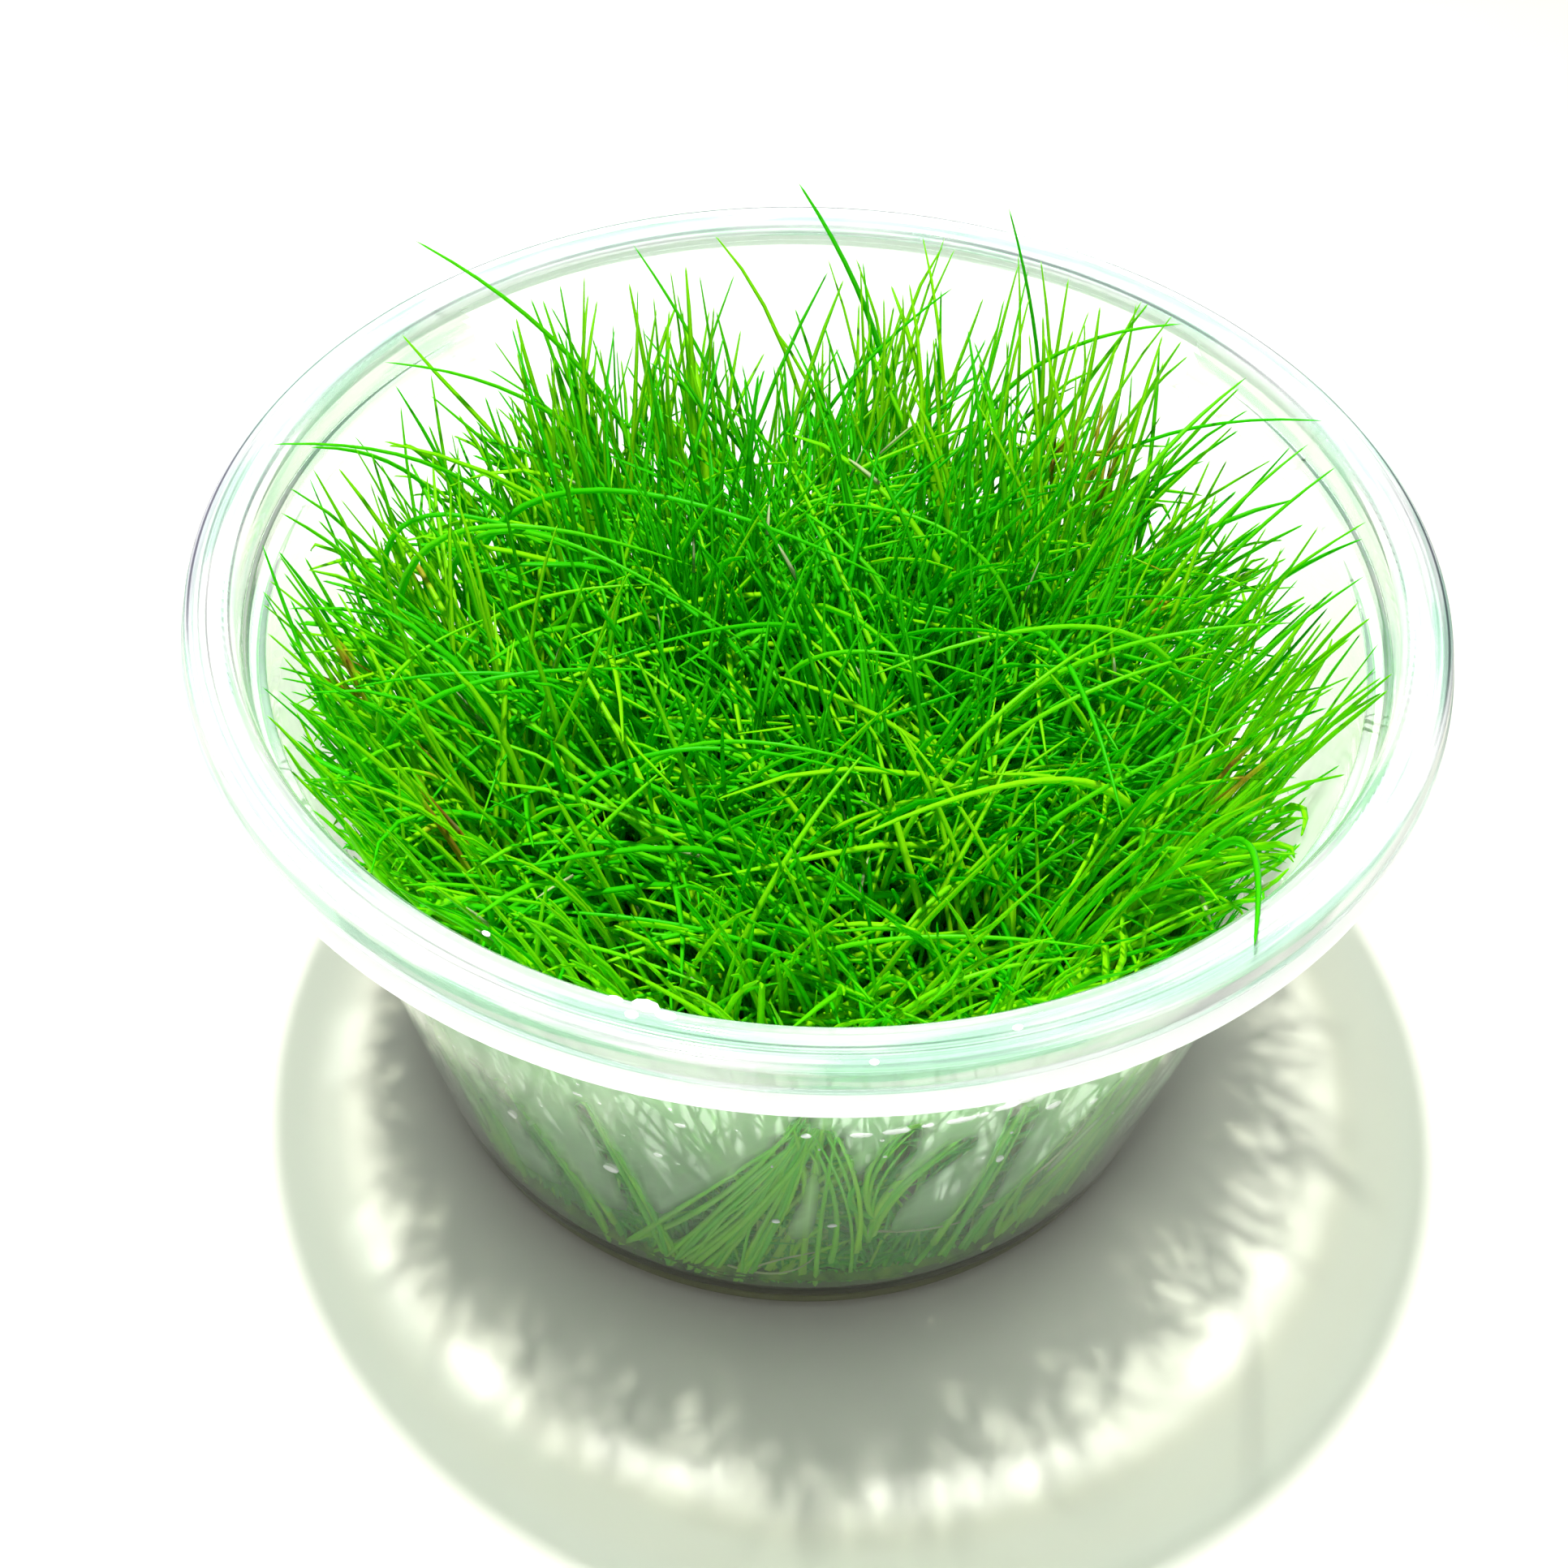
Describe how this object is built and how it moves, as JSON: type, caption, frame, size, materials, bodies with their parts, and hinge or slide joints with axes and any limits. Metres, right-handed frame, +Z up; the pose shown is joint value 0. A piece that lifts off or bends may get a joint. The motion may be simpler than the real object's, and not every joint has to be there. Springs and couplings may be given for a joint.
{
  "type": "dwarf hairgrass in a clear culture cup",
  "caption": "Fine-leaved aquarium grass growing densely on a root mat and gel in a clear, flanged, tapered plastic cup with no lid.",
  "frame": {"origin": "middle of the cup's foot, on the surface that it stands on", "axes": "+Z up along the cup's axis; the picture is taken from -Y, above"},
  "size_m": [0.1, 0.1, 0.064],
  "materials": {
    "clear_plastic": "clear moulded plastic, smooth, fogged inside below the rim",
    "culture_gel": "clear amber gel, wet",
    "felted_roots": "felted fine roots and runners, olive brown",
    "leaf_green": "fresh bright green leaves, satin, lighter and yellower to the tips"
  },
  "bodies": {
    "root": {"cup": "clear_plastic", "nutrient_gel": "culture_gel", "root_mat": "felted_roots", "tuft_01": "leaf_green", "tuft_02": "leaf_green", "tuft_03": "leaf_green", "tuft_04": "leaf_green", "tuft_05": "leaf_green", "tuft_06": "leaf_green", "tuft_07": "leaf_green", "tuft_08": "leaf_green", "tuft_09": "leaf_green", "tuft_10": "leaf_green", "tuft_11": "leaf_green", "tuft_12": "leaf_green", "tuft_13": "leaf_green", "tuft_14": "leaf_green", "tuft_15": "leaf_green", "tuft_16": "leaf_green", "tuft_17": "leaf_green", "tuft_18": "leaf_green", "tuft_19": "leaf_green", "tuft_20": "leaf_green", "tuft_21": "leaf_green", "tuft_22": "leaf_green", "tuft_23": "leaf_green", "tuft_24": "leaf_green", "tuft_25": "leaf_green", "tuft_26": "leaf_green", "tuft_27": "leaf_green", "tuft_28": "leaf_green", "tuft_29": "leaf_green", "tuft_30": "leaf_green", "tuft_31": "leaf_green", "tuft_32": "leaf_green", "tuft_33": "leaf_green", "tuft_34": "leaf_green", "tuft_35": "leaf_green", "tuft_36": "leaf_green", "tuft_37": "leaf_green", "tuft_38": "leaf_green"}
  },
  "joints": []
}
